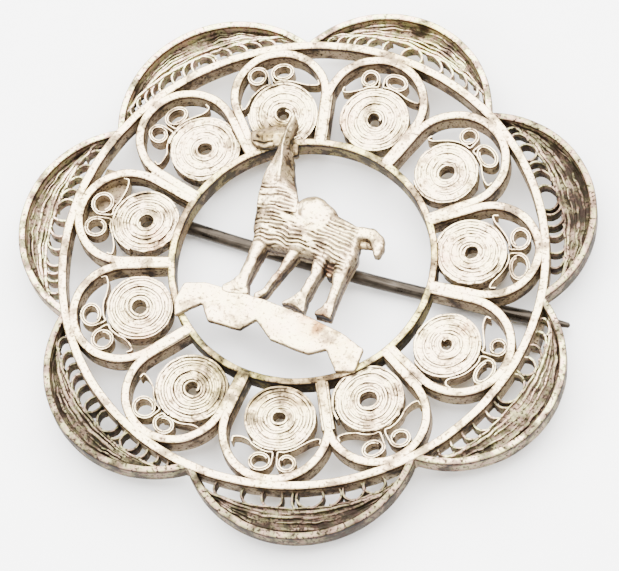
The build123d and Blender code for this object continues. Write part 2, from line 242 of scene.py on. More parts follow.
# Its neck, its snout and three of its feet, each in rows. A row has the place and top of a first edge, of a
# ridge and of a last edge.
camel_lofts = (
    ((-0.318, 1.025, 0.70, -0.298, 1.034, 0.90, -0.279, 1.020, 0.70),
     (-0.322, 0.980, 0.70, -0.300, 0.975, 1.05, -0.277, 0.975, 0.72),
     (-0.323, 0.915, 0.66, -0.302, 0.920, 1.08, -0.280, 0.925, 0.66),
     (-0.324, 0.860, 0.62, -0.298, 0.860, 1.08, -0.270, 0.865, 0.50),
     (-0.318, 0.810, 0.68, -0.285, 0.815, 1.08, -0.236, 0.825, 0.14),
     (-0.327, 0.750, 0.76, -0.268, 0.760, 1.14, -0.212, 0.765, 0.06),
     (-0.332, 0.700, 0.82, -0.256, 0.700, 1.18, -0.186, 0.705, 0.16),
     (-0.334, 0.640, 0.84, -0.242, 0.645, 1.20, -0.156, 0.650, 0.52),
     (-0.326, 0.560, 0.86, -0.228, 0.560, 1.22, -0.116, 0.580, 1.00),
     (-0.308, 0.480, 0.86, -0.205, 0.480, 1.22, -0.100, 0.500, 1.15)),
    ((-0.486, 0.912, 0.25, -0.492, 0.893, 0.45, -0.478, 0.850, 0.30),
     (-0.450, 0.932, 0.25, -0.450, 0.895, 0.62, -0.440, 0.830, 0.36),
     (-0.400, 0.957, 0.28, -0.400, 0.896, 0.72, -0.400, 0.828, 0.40),
     (-0.355, 0.987, 0.32, -0.355, 0.906, 0.80, -0.355, 0.848, 0.48),
     (-0.310, 1.005, 0.40, -0.310, 0.922, 0.88, -0.310, 0.860, 0.58)),
    ((-0.018, 0.043, 0.20, -0.020, 0.036, 0.25, -0.015, 0.029, 0.20),
     (0.020, 0.064, 0.38, 0.022, 0.050, 0.44, 0.030, 0.032, 0.30),
     (0.054, 0.100, 0.54, 0.062, 0.064, 0.54, 0.070, 0.022, 0.36),
     (0.102, 0.122, 0.64, 0.106, 0.062, 0.54, 0.112, 0.008, 0.36)),
    ((0.166, 0.034, 0.20, 0.164, 0.024, 0.25, 0.170, 0.014, 0.20),
     (0.192, 0.066, 0.38, 0.196, 0.044, 0.44, 0.202, 0.016, 0.30),
     (0.208, 0.105, 0.54, 0.220, 0.064, 0.54, 0.234, 0.014, 0.36),
     (0.246, 0.112, 0.60, 0.252, 0.070, 0.54, 0.256, 0.016, 0.36)),
    ((-0.332, 0.036, 0.40, -0.334, 0.020, 0.46, -0.328, 0.004, 0.40),
     (-0.292, 0.080, 0.50, -0.286, 0.040, 0.58, -0.270, 0.000, 0.44),
     (-0.262, 0.122, 0.64, -0.246, 0.060, 0.62, -0.204, 0.014, 0.44),
     (-0.220, 0.110, 0.60, -0.214, 0.060, 0.52, -0.196, 0.024, 0.42)),
)

# Cuts in its snout: the nostril and the mouth
camel_cuts = (
    ((-0.456, 0.880), (-0.440, 0.872)),
    ((-0.466, 0.850), (-0.405, 0.848), (-0.365, 0.866)),
)
cut_width = 0.10
cut_depth = 0.10

# Its wool: how far its strokes are apart, and about how long they are, as shares of camel_height
wool_spacing = 0.0205
wool_length = 0.075

# Heights and radii that follow
ring_inside = outer_radius - outer_strip
arch_top = ring_inside + arch_seat - arch_setback
filigree_bottom = ring_top - filigree_recess - filigree_height
rim_bottom = ring_top - rim_recess - rim_height


def turned(points, turn):
    """Level points turned about the brooch's centre, in degrees."""
    points = np.asarray(points, float)
    c, s = cos(radians(turn)), sin(radians(turn))
    out = points.copy()
    out[:, 0] = points[:, 0] * c - points[:, 1] * s
    out[:, 1] = points[:, 0] * s + points[:, 1] * c
    return out


def arc(centre, radius, start, end, step=0.12):
    """Points of a level arc from one direction to another, in degrees."""
    count = max(3, int(abs(radians(end - start)) * radius / step))
    way = np.radians(np.linspace(start, end, count + 1))
    return np.stack([centre[0] + radius * np.cos(way), centre[1] + radius * np.sin(way)], 1)


def smooth_path(points, step=0.1):
    """A curve through a few points, by Catmull and Rom's rule."""
    points = np.asarray(points, float)
    padded = np.vstack([2 * points[0] - points[1], points, 2 * points[-1] - points[-2]])
    out = []
    for a, b, c, d in zip(padded, padded[1:], padded[2:], padded[3:]):
        count = max(2, int(np.linalg.norm(c - b) / step))
        second, third = 2 * a - 5 * b + 4 * c - d, 3 * b - a - 3 * c + d
        for t in np.arange(count) / count:
            out.append(0.5 * (2 * b + (c - a) * t + second * t**2 + third * t**3))
    out.append(points[-1])
    return np.array(out)


def strip_section(width, height, soft, steps=3):
    """A strip on edge in section, from its foot: side and up, with its upper edges rounded."""
    points = [(width / 2, 0.0)]
    for side, start in ((1, 0), (-1, pi / 2)):
        for k in range(steps + 1):
            way = start + pi / 2 * k / steps
            points.append((side * (width / 2 - soft) + soft * cos(way), height - soft + soft * sin(way)))
    points.append((-width / 2, 0.0))
    return np.array(points)


def tube_faces(rows, cols, closed=False):
    """Faces round rows of corners, which are joined into a ring or closed at both ends."""
    faces = []
    for i in range(rows if closed else rows - 1):
        a, b = i * cols, (i + 1) % rows * cols
        for j in range(cols):
            k = (j + 1) % cols
            faces.append((a + j, b + j, b + k, a + k))
    if not closed:
        faces.append(tuple(range(cols)))
        faces.append(tuple(range((rows - 1) * cols, rows * cols))[::-1])
    return faces


def swept(path, height, section, closed=False):
    """An upright section carried along a level path, at one height or at one for each point."""
    ahead = np.roll(path, -1, 0) - np.roll(path, 1, 0) if closed else np.gradient(path, axis=0)
    flat = ahead[:, :2] / np.linalg.norm(ahead[:, :2], axis=1)[:, None]
    side = np.stack([-flat[:, 1], flat[:, 0]], 1)
    rows, cols = len(path), len(section)
    corners = np.zeros((rows, cols, 3))
    corners[:, :, :2] = path[:, None, :2] + side[:, None, :] * section[None, :, :1]
    corners[:, :, 2] = np.broadcast_to(height, rows)[:, None] + section[None, :, 1]
    return corners.reshape(-1, 3), tube_faces(rows, cols, closed)


def shaken(corners, amount, grain, seed):
    """Corners moved by a smooth noise, as hand work is: amount and grain in millimetres."""
    shift = Vector((seed * 7.3, seed * 3.1, seed * 5.7))
    moves = [noise.noise_vector(Vector(p) / grain + shift) for p in corners]
    return corners + amount * np.array(moves)


def add_object(name, data):
    """A new object in the scene."""
    made = bpy.data.objects.new(name, data)
    bpy.context.scene.collection.objects.link(made)
    return made


def joined(parts):
    """The corners and faces of several parts as one."""
    faces, offset = [], 0
    for part_corners, part_faces in parts:
        faces += [tuple(i + offset for i in face) for face in part_faces]
        offset += len(part_corners)
    return np.vstack([part_corners for part_corners, _ in parts]), faces


def mesh_of(name, corners, faces, bevel=0.0):
    """A mesh with its normals outward, its sharp edges rounded where a bevel is given."""
    mesh = bpy.data.meshes.new(name)
    mesh.from_pydata(corners.tolist(), [], faces)
    build = bmesh.new()
    build.from_mesh(mesh)
    bmesh.ops.recalc_face_normals(build, faces=build.faces)
    if bevel:
        sharp = [edge for edge in build.edges if edge.calc_face_angle(0) > radians(35)]
        bmesh.ops.bevel(build, geom=sharp, offset=bevel, segments=2, affect="EDGES", profile=0.6,
                        clamp_overlap=True)
    build.to_mesh(mesh)
    build.free()
    return mesh


def make_piece(name, parts, material, shake=0.03, grain=1.3):
    """One piece of several parts, shaken a little."""
    corners, faces = joined(parts)
    corners = shaken(corners, shake, grain, seed=len(name))
    finish_piece(name, mesh_of(name, corners * MM, faces), material)


def finish_piece(name, mesh, material, crease=40, body="brooch"):
    """Shades a mesh, gives it its material and puts it on its body, where it stands for the CAD solid."""
    mesh.shade_smooth()
    mesh.set_sharp_from_angle(angle=radians(crease))
    mesh.materials.append(material)
    piece = add_object(name, mesh)
    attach(piece, body)
    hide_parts("filigree_body")


def prism(outline, place):
    """A flat outline made solid. place(a, b, end) gives a point's corner on the first or the last side."""
    count = len(outline)
    corners = np.array([place(a, b, end) for end in (0, 1) for a, b in outline])
    faces = [tuple(range(count)), tuple(range(count, 2 * count))[::-1]]
    faces += [(i, (i + 1) % count, count + (i + 1) % count, count + i) for i in range(count)]
    return corners, faces


def pierced_prism(outside, inside, place):
    """A prism with a hole through it, from two outlines of as many points."""
    count = len(outside)
    corners = np.array([place(a, b, end) for loop in (outside, inside) for end in (0, 1) for a, b in loop])
    faces = []
    for i in range(count):
        k = (i + 1) % count
        for a, b in ((0, count), (2 * count, 3 * count), (0, 2 * count), (count, 3 * count)):
            faces.append((a + i, a + k, b + k, b + i))
    return corners, faces


def mesh_places(mesh):
    """A mesh's corners and their normals."""
    places = np.zeros(len(mesh.vertices) * 3)
    mesh.vertices.foreach_get("co", places)
    normals = np.array([v.normal for v in mesh.vertices])
    return places.reshape(-1, 3), normals


def set_places(mesh, places):
    """Moves a mesh's corners to new places."""
    mesh.vertices.foreach_set("co", np.ascontiguousarray(places).ravel())
    mesh.update()


class Nodes:
    """Shader nodes by short calls."""

    def __init__(self, name):
        self.material = bpy.data.materials.new(name)
        self.material.use_nodes = True
        self.tree = self.material.node_tree
        self.shader = self.tree.nodes["Principled BSDF"]

    def new(self, kind, **values):
        """A node with its properties set."""
        node = self.tree.nodes.new("ShaderNode" + kind)
        for key, value in values.items():
            setattr(node, key, value)
        return node

    def put(self, socket, value):
        """A link from another node's output, or a plain value."""
        if isinstance(value, bpy.types.NodeSocket):
            self.tree.links.new(value, socket)
        else:
            socket.default_value = value

    def fill(self, node, **values):
        """Links or plain values for a node's inputs."""
        for name, value in values.items():
            self.put(node.inputs[name], value)

    def shade(self, name, value):
        """A link or a plain value for one of the shader's own sockets."""
        self.put(self.shader.inputs[name], value)

    def math(self, operation, a, b=0.0, clamp=False):
        """A sum of one or two values."""
        node = self.new("Math", operation=operation, use_clamp=clamp)
        self.put(node.inputs[0], a)
        self.put(node.inputs[1], b)
        return node.outputs[0]

    def spread(self, value, low, high, to_low=0.0, to_high=1.0):
        """A value's range mapped smoothly to another."""
        node = self.new("MapRange", interpolation_type="SMOOTHSTEP")
        for socket, number in zip(node.inputs, (value, low, high, to_low, to_high)):
            self.put(socket, number)
        return node.outputs[0]

    def mix(self, share, a, b, blend="MIX"):
        """Two colours mixed."""
        node = self.new("Mix", data_type="RGBA", blend_type=blend)
        for key, value in (("Factor", share), (6, a), (7, b)):
            self.put(node.inputs[key], value)
        return node.outputs[2]

    def ramp(self, value, stops):
        """A colour ramp, from places and colours."""
        node = self.new("ValToRGB")
        while len(node.color_ramp.elements) < len(stops):
            node.color_ramp.elements.new(0.5)
        for element, (place, colour) in zip(node.color_ramp.elements, stops):
            element.position = place
            element.color = (*colour, 1.0)
        self.put(node.inputs[0], value)
        return node.outputs[0]

    def noise(self, grain, detail=3.0, rough=0.55, at=None):
        """A noise whose patches are about grain millimetres."""
        node = self.new("TexNoise")
        self.fill(node, Vector=at or self.place(), Scale=1 / (grain * MM), Detail=detail, Roughness=rough)
        return node.outputs["Fac"]

    def place(self, kind="Object"):
        """Places on the object, in metres, or its normals."""
        return self.new("TexCoord").outputs[kind]

    def upward(self, kind):
        """The height of a place, or how far a surface faces up: 1 on top, 0 on walls, -1 behind."""
        parts = self.new("SeparateXYZ")
        self.put(parts.inputs[0], self.place(kind))
        return parts.outputs[2]

    def crevice(self, reach, low, high):
        """1 in narrow gaps and corners, 0 in the open."""
        node = self.new("AmbientOcclusion", samples=8)
        self.fill(node, Distance=reach * MM)
        return self.spread(node.outputs["AO"], low, high, 1.0, 0.0)

    def bump(self, height, depth, after=None):
        """A bump of a depth in millimetres."""
        node = self.new("Bump")
        self.fill(node, Distance=depth * MM, Height=height)
        if after:
            self.fill(node, Normal=after)
        return node.outputs[0]


# Stains in the photo, and on the camel three marks that hold painted shade: place across the brooch, radius,
# strength, how much they darken, and colour
Spot = namedtuple("Spot", "x y radius strength dark colour")
stains_and_shade = (
    Spot(1.9, 18.6, 3.4, 0.7, 0.08, (0.90, 0.90, 0.52)),
    Spot(-1.5, -9.1, 4.4, 1.0, 0.55, (0.80, 0.84, 0.56)),
    Spot(3.4, -8.6, 2.8, 0.9, 0.5, (0.86, 0.82, 0.60)),
    Spot(-4.5, -7.8, 1.6, 0.5, 0.36, (0.50, 0.62, 0.68)),
    Spot(9.0, -17.0, 4.0, 0.5, 0.36, (0.55, 0.40, 0.45)),
    Spot(-9.5, -16.5, 3.5, 0.5, 0.36, (0.52, 0.60, 0.42)),
    Spot(16.5, 9.0, 3.0, 0.4, 0.36, (0.60, 0.45, 0.42)),
    Spot(-5.3, 8.5, 1.9, 1.4, 0.36, (0.66, 0.60, 0.38)),
    # The next two are painted shade, tinted olive, on the shaded right side of the camel's neck and where the
    # neck meets the ring
    Spot(-2.9, 6.4, 1.4, 1.1, 0.56, (0.66, 0.62, 0.50)),
    Spot(-3.3, 7.9, 0.9, 1.2, 0.50, (0.66, 0.58, 0.42)),
    Spot(2.6, -4.4, 1.6, 0.9, 0.36, (0.80, 0.50, 0.28)),
    Spot(4.6, -5.4, 1.8, 0.6, 0.16, (0.88, 0.78, 0.55)),
    Spot(-2.2, 4.4, 1.2, 0.8, 0.36, (0.74, 0.55, 0.60)),
    Spot(2.1, -0.3, 1.0, 1.2, 0.45, (0.78, 0.54, 0.48)),
    Spot(-1.3, -1.3, 1.3, 0.8, 0.36, (0.74, 0.56, 0.50)),
    # This one is partly a pinkish stain and partly painted shade in the low web between the camel's tail and
    # rump
    Spot(4.0, 2.2, 1.0, 1.4, 0.50, (0.72, 0.54, 0.46)),
    Spot(-1.0, 10.8, 1.4, 0.8, 0.12, (0.88, 0.66, 0.74)),
    Spot(9.4, 3.2, 1.6, 0.7, 0.12, (0.90, 0.72, 0.82)),
    Spot(12.6, -1.7, 1.5, 0.7, 0.14, (0.90, 0.70, 0.72)),
    Spot(-10.4, -1.5, 1.5, 0.7, 0.14, (0.88, 0.68, 0.66)),
    Spot(-8.6, -9.0, 1.7, 0.7, 0.14, (0.90, 0.70, 0.70)),
)

# Tints of the silver, which change from patch to patch
clean_hues = ((1.0, 0.99, 0.90), (1.0, 0.94, 0.94))
grimy_hues = ((0.86, 1.0, 0.80), (1.0, 0.87, 1.0))
yellow_hues = ((0.94, 1.0, 0.62), (1.0, 0.92, 0.80))


def silver_material(name, wall=0.60, steep=0.3, grime_and_shade=0.8, reach=0.7, dull=0.0, patchy=0.5, speckle=0.5,
                    wool=False, hues=clean_hues, hue_grain=1.7):
    """Worn silver: bright on top, duller behind, tarnished brown and darkened with painted shade on walls, in
    crevices and where it lies deep, with a darker line under its upper edges and faint coloured stained
    patches, three of which hold painted shade."""
    n = Nodes(name)
    facing, height = n.upward("Normal"), n.upward("Object")
    # Walls are tarnished brown and darkened with painted shade, the more so the more sideways they face
    walls = n.spread(facing, steep, 0.98, wall, 0.0)
    # Crevices and narrow gaps are tarnished and darkened with painted shade, by how enclosed they are
    corners = n.math("MULTIPLY", n.crevice(reach, 0.25, 0.8), grime_and_shade)
    # Parts lying deep below the rings' tops, such as the petal wires beside the rims, get painted shade from
    # the rims, with some tarnish
    sunk = n.spread(height, (ring_top - 0.5) * MM, (ring_top - 1.1) * MM, 0.0, 0.5)
    tarnish_and_shade = n.math("MAXIMUM", n.math("MAXIMUM", walls, corners), sunk)
    tarnish_and_shade = n.math("MULTIPLY", tarnish_and_shade, n.spread(facing, -0.9, -0.4, 0.5, 1.0))
    patches = n.spread(n.noise(1.3, 4.0), 0.44, 0.72, dull - 0.06, dull + patchy)
    specks = n.spread(n.noise(0.2, 2.0), 0.52, 0.70, -0.04, speckle)
    tarnish_and_shade = n.math("ADD", tarnish_and_shade, n.math("ADD", patches, specks), clamp=True)
    shares = []
    for spot in stains_and_shade:
        away = n.new("VectorMath", operation="DISTANCE")
        n.put(away.inputs[0], n.place())
        away.inputs[1].default_value = (spot.x * MM, spot.y * MM, ring_top * MM)
        radius = spot.radius * MM
        share = n.spread(away.outputs["Value"], 0.3 * radius, radius, spot.strength, 0.0)
        share = n.math("MULTIPLY", share, n.spread(n.noise(0.9, 3.0), 0.38, 0.62, 0.25, 1.0))
        tarnish_and_shade = n.math("ADD", tarnish_and_shade, n.math("MULTIPLY", share, spot.dark), clamp=True)
        shares.append(share)
    if wool:
        strokes = n.new("Attribute", attribute_name="wool").outputs["Fac"]
        tarnish_and_shade = n.math("ADD", tarnish_and_shade, n.math("MULTIPLY", strokes, 0.58), clamp=True)
    colour = n.ramp(tarnish_and_shade, (
        (0.0, (0.90, 0.76, 0.50)),
        (0.15, (0.72, 0.58, 0.35)),
        (0.30, (0.38, 0.29, 0.17)),
        (0.55, (0.21, 0.16, 0.096)),
        (0.8, (0.09, 0.062, 0.035)),
        (1.0, (0.022, 0.014, 0.007)),
    ))
    tint = n.mix(n.spread(n.noise(hue_grain, 3.0), 0.42, 0.58), *((*hue, 1.0) for hue in hues))
    colour = n.mix(1.0, colour, tint, "MULTIPLY")
    for spot, share in zip(stains_and_shade, shares):
        colour = n.mix(n.math("MINIMUM", share, 1.0), colour, (*spot.colour, 1.0), "MULTIPLY")
    upright = n.spread(facing, 0.3, 0.8, 1.0, 0.0)
    over_low = n.spread(height, (ring_top - 0.45) * MM, (ring_top - 0.22) * MM)
    under_top = n.spread(height, (ring_top - 0.03) * MM, (ring_top + 0.08) * MM, 1.0, 0.0)
    edge_line = n.math("MULTIPLY", upright, n.math("MULTIPLY", over_low, under_top))
    colour = n.mix(edge_line, colour, (0.20, 0.11, 0.06, 1.0), "MULTIPLY")
    n.shade("Base Color", colour)
    n.shade("Metallic", n.spread(tarnish_and_shade, 0.15, 0.7, 1.0, 0.2))
    n.shade("Specular IOR Level", n.spread(tarnish_and_shade, 0.2, 0.8, 0.5, 0.15))
    uneven = n.spread(n.noise(0.5), 0.3, 0.7, -0.04, 0.08)
    n.shade("Roughness", n.math("ADD", n.spread(tarnish_and_shade, 0.0, 0.8, 0.34, 0.6), uneven))
    fine = n.bump(n.noise(0.12, 2.0), 0.014)
    n.shade("Normal", n.bump(n.noise(0.7, 2.0), 0.05, after=fine))
    return n.material


def steel_material(name):
    """Dark drawn wire with fine lines along it."""
    n = Nodes(name)
    stretch = n.new("Mapping")
    n.fill(stretch, Vector=n.place(), Scale=(0.06, 1.0, 1.0))
    lines = n.noise(0.12, 2.0, at=stretch.outputs[0])
    patches = n.noise(1.2, 3.0)
    colour = n.ramp(n.math("MULTIPLY", lines, patches), (
        (0.05, (0.012, 0.009, 0.006)),
        (0.35, (0.045, 0.036, 0.027)),
        (0.6, (0.11, 0.095, 0.08)),
    ))
    n.shade("Base Color", colour)
    n.shade("Metallic", 0.9)
    n.shade("Roughness", n.spread(patches, 0.3, 0.7, 0.25, 0.42))
    n.shade("Normal", n.bump(lines, 0.01))
    return n.material


def floor_material():
    """Pale matt card."""
    n = Nodes("pale_floor")
    pale = ((0.3, (0.94, 0.94, 0.94)), (0.7, (0.96, 0.96, 0.96)))
    n.shade("Base Color", n.ramp(n.noise(3.0, 4.0), pale))
    n.shade("Roughness", 0.8)
    return n.material


# The wall and crevice settings set how much tarnish and painted shade each material's walls and crevices get
silver = silver_material("worn_silver")
inner_silver = silver_material("inner_silver", dull=0.20, patchy=0.7, hues=yellow_hues)
coil_silver = silver_material("coil_silver", wall=0.65, grime_and_shade=1.0, reach=0.2, patchy=0.42, speckle=0.45)
ribbon_silver = silver_material("ribbon_silver", wall=0.50, grime_and_shade=0.5, reach=0.3, patchy=0.4, speckle=0.4)
camel_silver = silver_material("camel_silver", wall=0.62, steep=0.5, patchy=0.45, speckle=0.45, wool=True)
strip_silver = silver_material("strip_silver", patchy=0.4, speckle=0.36)
steel = steel_material("pin_steel")


def arch_circle(cell):
    """The radius inside a cell's arch, and how far its centre is from the brooch's centre."""
    inside = arch_radius * cell.arch_size
    return inside, arch_top - inside


def make_rings():
    """The outer and the inner ring."""
    for name, radius, width, material in (
        ("outer_ring", outer_radius - outer_strip / 2, outer_strip, silver),
        ("inner_ring", inner_radius + inner_strip / 2, inner_strip, inner_silver),
    ):
        path = arc((0, 0), radius, 0, 360)[:-1]
        section = strip_section(width, ring_top - stand_off, soft=0.12)
        make_piece(name, [swept(path, stand_off, section, closed=True)], material)


def make_arches():
    """Each cell's arch with its two legs, and a spoke between neighbouring legs."""
    section = strip_section(arch_strip, ring_top - stand_off, soft=0.13)
    foot = inner_radius + inner_strip / 2
    for number, (cell, after) in enumerate(zip(cells, cells[1:] + cells[:1]), 1):
        (inside, distance), (after_inside, after_distance) = arch_circle(cell), arch_circle(after)
        radius = inside + arch_strip / 2
        slope = degrees(asin(radius / distance))
        reach = sqrt(distance**2 - radius**2)
        legs = [turned([(r, 0) for r in np.linspace(foot, reach, 24)], side * slope) for side in (1, -1)]
        round_part = arc((distance, 0), radius, 90 + slope, -90 - slope)
        path = turned(np.vstack([legs[0][:-1], round_part, legs[1][::-1][1:]]), cell.arch_turn)
        make_piece(f"arch_{number:02d}", [swept(path, stand_off, section)], silver)
        near = cell.arch_turn - degrees(asin(inside / distance))
        far = after.arch_turn + degrees(asin(after_inside / after_distance))
        middle = near - ((near - far) % 360) / 2
        spoke = turned([(r, 0) for r in np.linspace(foot, reach + spoke_lap, 24)], middle)
        flat = strip_section(spoke_width, ring_top - stand_off - spoke_recess, soft=0.1)
        make_piece(f"spoke_{number:02d}", [swept(spoke, stand_off, flat)], silver)


def coil_path(cell, seed):
    """A ribbon wound from outside in about the origin, its inner end turned in where the cell has a hook."""
    room = coil_radius * cell.size - coil_ribbon / 2 - cell.hole
    turns = room / coil_turn_width
    way = np.linspace(0, (turns + 0.7) * 2 * pi, int(turns * coil_points))
    radius = cell.hole + np.maximum(0.0, room - coil_turn_width * way / (2 * pi))
    slow = np.sin(way * 0.53 + seed) * np.sin(way * 0.11 + 2 * seed)
    radius += 0.05 * slow + 0.02 * np.sin(way * 2.1 + 2 * seed)
    radius *= 1 + 0.02 * np.cos(2 * way + seed)
    height = 0.05 * np.sin(way * 0.37 + 3 * seed) + 0.03 * np.sin(way * 1.3 + seed) + 0.02 * np.sin(way * 3.1)
    if cell.hook:
        hook = np.linspace(0.1, cell.hook, 12)
        way = np.concatenate([way, way[-1] + hook])
        radius = np.concatenate([radius, radius[-1] - 0.16 * hook**1.2])
        height = np.concatenate([height, np.full(len(hook), height[-1])])
    return np.stack([radius * np.cos(way), radius * np.sin(way)], 1), height


def broad_section(width, height, columns):
    """A wide strip in section, with points across its top that a shake can move."""
    half, soft = width / 2, 0.04
    top = [(x, height) for x in np.linspace(half - soft, soft - half, columns)]
    return np.array([(half, 0.0), (half, height - soft), *top, (-half, height - soft), (-half, 0.0)])


def make_coils():
    """The coils: in each cell a ribbon on edge, held by solder that fills it nearly to its top."""
    section = strip_section(coil_ribbon, filigree_height, soft=0.07, steps=2)
    for number, cell in enumerate(cells, 1):
        place = (coil_reach * cell.reach, 0)
        path, height = coil_path(cell, number)
        if number % 2:
            path = path * (1, -1)
        path = turned(turned(path, 40 * number) + place, cell.turn)
        solder_width = coil_radius * cell.size - cell.hole - solder_room
        solder = broad_section(solder_width, filigree_height - cell.line, columns=14)
        middle = arc(place, cell.hole + solder_gap + solder_width / 2, 0, 360, step=0.08)[:-1]
        corners, faces = swept(turned(middle, cell.turn), filigree_bottom, solder, closed=True)
        parts = [
            swept(path, filigree_bottom + height, section),
            (shaken(corners, amount=0.09, grain=0.45, seed=3 * number), faces),
        ]
        make_piece(f"coil_{number:02d}", parts, coil_silver, grain=0.5)


def curl_path(cell, curl, between):
    """One curl and its tail: round its eye, down between the eyes to the coil, along it, and out to the arch,
    where it bends up. The cell's direction is the first axis."""
    coil = np.array([coil_reach * cell.reach, 0.0])
    hug = coil_radius * cell.size + ribbon / 2 + 0.02
    hand, count = 1 if curl.leave > 0 else -1, 90
    eye = np.array([curl.out, curl.side])
    to_coil = degrees(atan2(*(coil - eye)[::-1]))
    leave_eye = to_coil + hand * 75
    way = np.radians(np.linspace(leave_eye + hand * curl_winding, leave_eye, count))
    inward = curl_turn_width * np.linspace(curl_turns, 0.0, count)
    tall, wide = (size - ribbon / 2 - inward for size in (curl.tall, curl.wide))
    round_part = eye + np.stack([tall * np.cos(way), wide * np.sin(way)], 1)

    start = hand * degrees(between) + 4
    joins = np.arange(start, max(abs(curl.leave), start + 1), 9) * hand
    knots = [coil + hug * np.array([cos(radians(turn)), sin(radians(turn))]) for turn in joins]
    leave, end = knots[-1], np.array([curl.end_out, curl.end_side])
    knots += [leave + 0.55 * (end - leave) + (-0.12, 0.0), end, end + (0.35, hand * 0.04)]
    tail = smooth_path(np.vstack([round_part[-1], *knots]), 0.06)
    return np.vstack([round_part[:-1], tail])


def make_curls():
    """Two curls in each cell, each with the tail that its ribbon runs out to."""
    section = strip_section(ribbon, filigree_height, soft=0.05, steps=2)
    for number, cell in enumerate(cells, 1):
        left, right = cell.left, cell.right
        side, out = (left.side - left.wide + right.side + right.wide) / 2, (left.out + right.out) / 2
        between = atan2(side, out - coil_reach * cell.reach)
        paths = [turned(curl_path(cell, curl, between), cell.turn) for curl in (left, right)]
        parts = [swept(path, filigree_bottom + curl_lift, section) for path in paths]
        make_piece(f"curls_{number:02d}", parts, ribbon_silver, grain=0.8)


def petal_circle(petal):
    """Half the angle between a petal's joints, and the distance and radius of its rim's outer circle."""
    half = radians(petal.end - petal.start) / 2
    along, side = outer_radius * cos(half), outer_radius * sin(half)
    rise = petal.reach * outer_radius - along
    radius = (rise**2 + side**2) / (2 * rise)
    return half, petal.reach * outer_radius - radius, radius


def rim_reach(petal, turn, inset):
    """How far a petal's rim, less an inset, is from the brooch's centre, so far turned from its middle."""
    _, distance, radius = petal_circle(petal)
    return distance * cos(turn) + sqrt((radius - inset) ** 2 - (distance * sin(turn)) ** 2)


def row_reach(petal, turn):
    """How far the row of scrolls reaches from the brooch's centre."""
    depth = max(0.0, rim_reach(petal, turn, petal_rim) - outer_radius)
    middle = rim_reach(petal, 0, petal_rim) - outer_radius
    return outer_radius + scroll_row * (depth / middle) ** 0.35


def petal_wire(petal, share, first, last):
    """One wire of a petal: 0 beside the scrolls, 1 beside the rim. It runs between two shares of the petal's
    width, and where it is whole it ends on the ring."""
    half, _, _ = petal_circle(petal)
    line = []
    for turn in np.linspace(first * half, last * half, 160):
        if rim_reach(petal, turn, petal_rim) - outer_radius >= 0.05:
            low, high = row_reach(petal, turn), rim_reach(petal, turn, petal_rim + wire_width / 2)
            away = low + (high - low) * share
            line.append((away * cos(turn), away * sin(turn)))
    return np.array(line)


def bed_height(share):
    """How high the wires' solder lies: 0 beside the scrolls, 1 beside the rim."""
    return ring_top - bed_recess - bed_fall * share


def petal_bed(petal, seed):
    """The rough solder that the wires lie in, between the scrolls and the rim, as corners and faces."""
    half, _, _ = petal_circle(petal)
    across = np.linspace(0, 1, 15)
    rows = []
    for turn in np.linspace(-0.93 * half, 0.93 * half, 150):
        low, high = row_reach(petal, turn) - 0.05, rim_reach(petal, turn, petal_rim - 0.1)
        row = [(low + (high - low) * share, bed_height(share)) for share in across]
        row = [(low, rim_bottom + bed_floor), *row, (high, rim_bottom + bed_floor)]
        rows.append([(away * cos(turn), away * sin(turn), height) for away, height in row])
    corners = np.array(rows)
    rough = [noise.noise(Vector((p[0] / 0.35, p[1] / 0.16, seed))) for p in corners.reshape(-1, 3)]
    lift = np.array(rough).reshape(corners.shape[:2])
    corners[:, 1:-1, 2] += bed_roughness * lift[:, 1:-1]
    return corners.reshape(-1, 3), tube_faces(len(rows), len(rows[0]))


# A scroll's knots: how high on the row of scrolls, how far along to its head, and a push aside in radians
scroll_knots = ((0.0, 0.0, 0.0), (0.35, -0.05, 0.004), (0.7, 0.3, 0.005), (0.97, 1.0, 0.0), (0.93, 1.6, 0.0))


def scroll_path(petal, foot, head):
    """One scroll, from its foot on the ring up to its head, which bends over beside the wires."""
    hand = 1 if foot > head else -1
    turn_foot, turn_head = foot / outer_radius, head / outer_radius
    row = row_reach(petal, turn_head) - outer_radius
    knots = []
    for rise, share, push in scroll_knots:
        away = outer_radius - 0.05 + rise * (row + 0.05)
        turn = turn_foot + share * (turn_head - turn_foot) + hand * push
        knots.append((away * cos(turn), away * sin(turn)))
    return smooth_path(knots, 0.08)


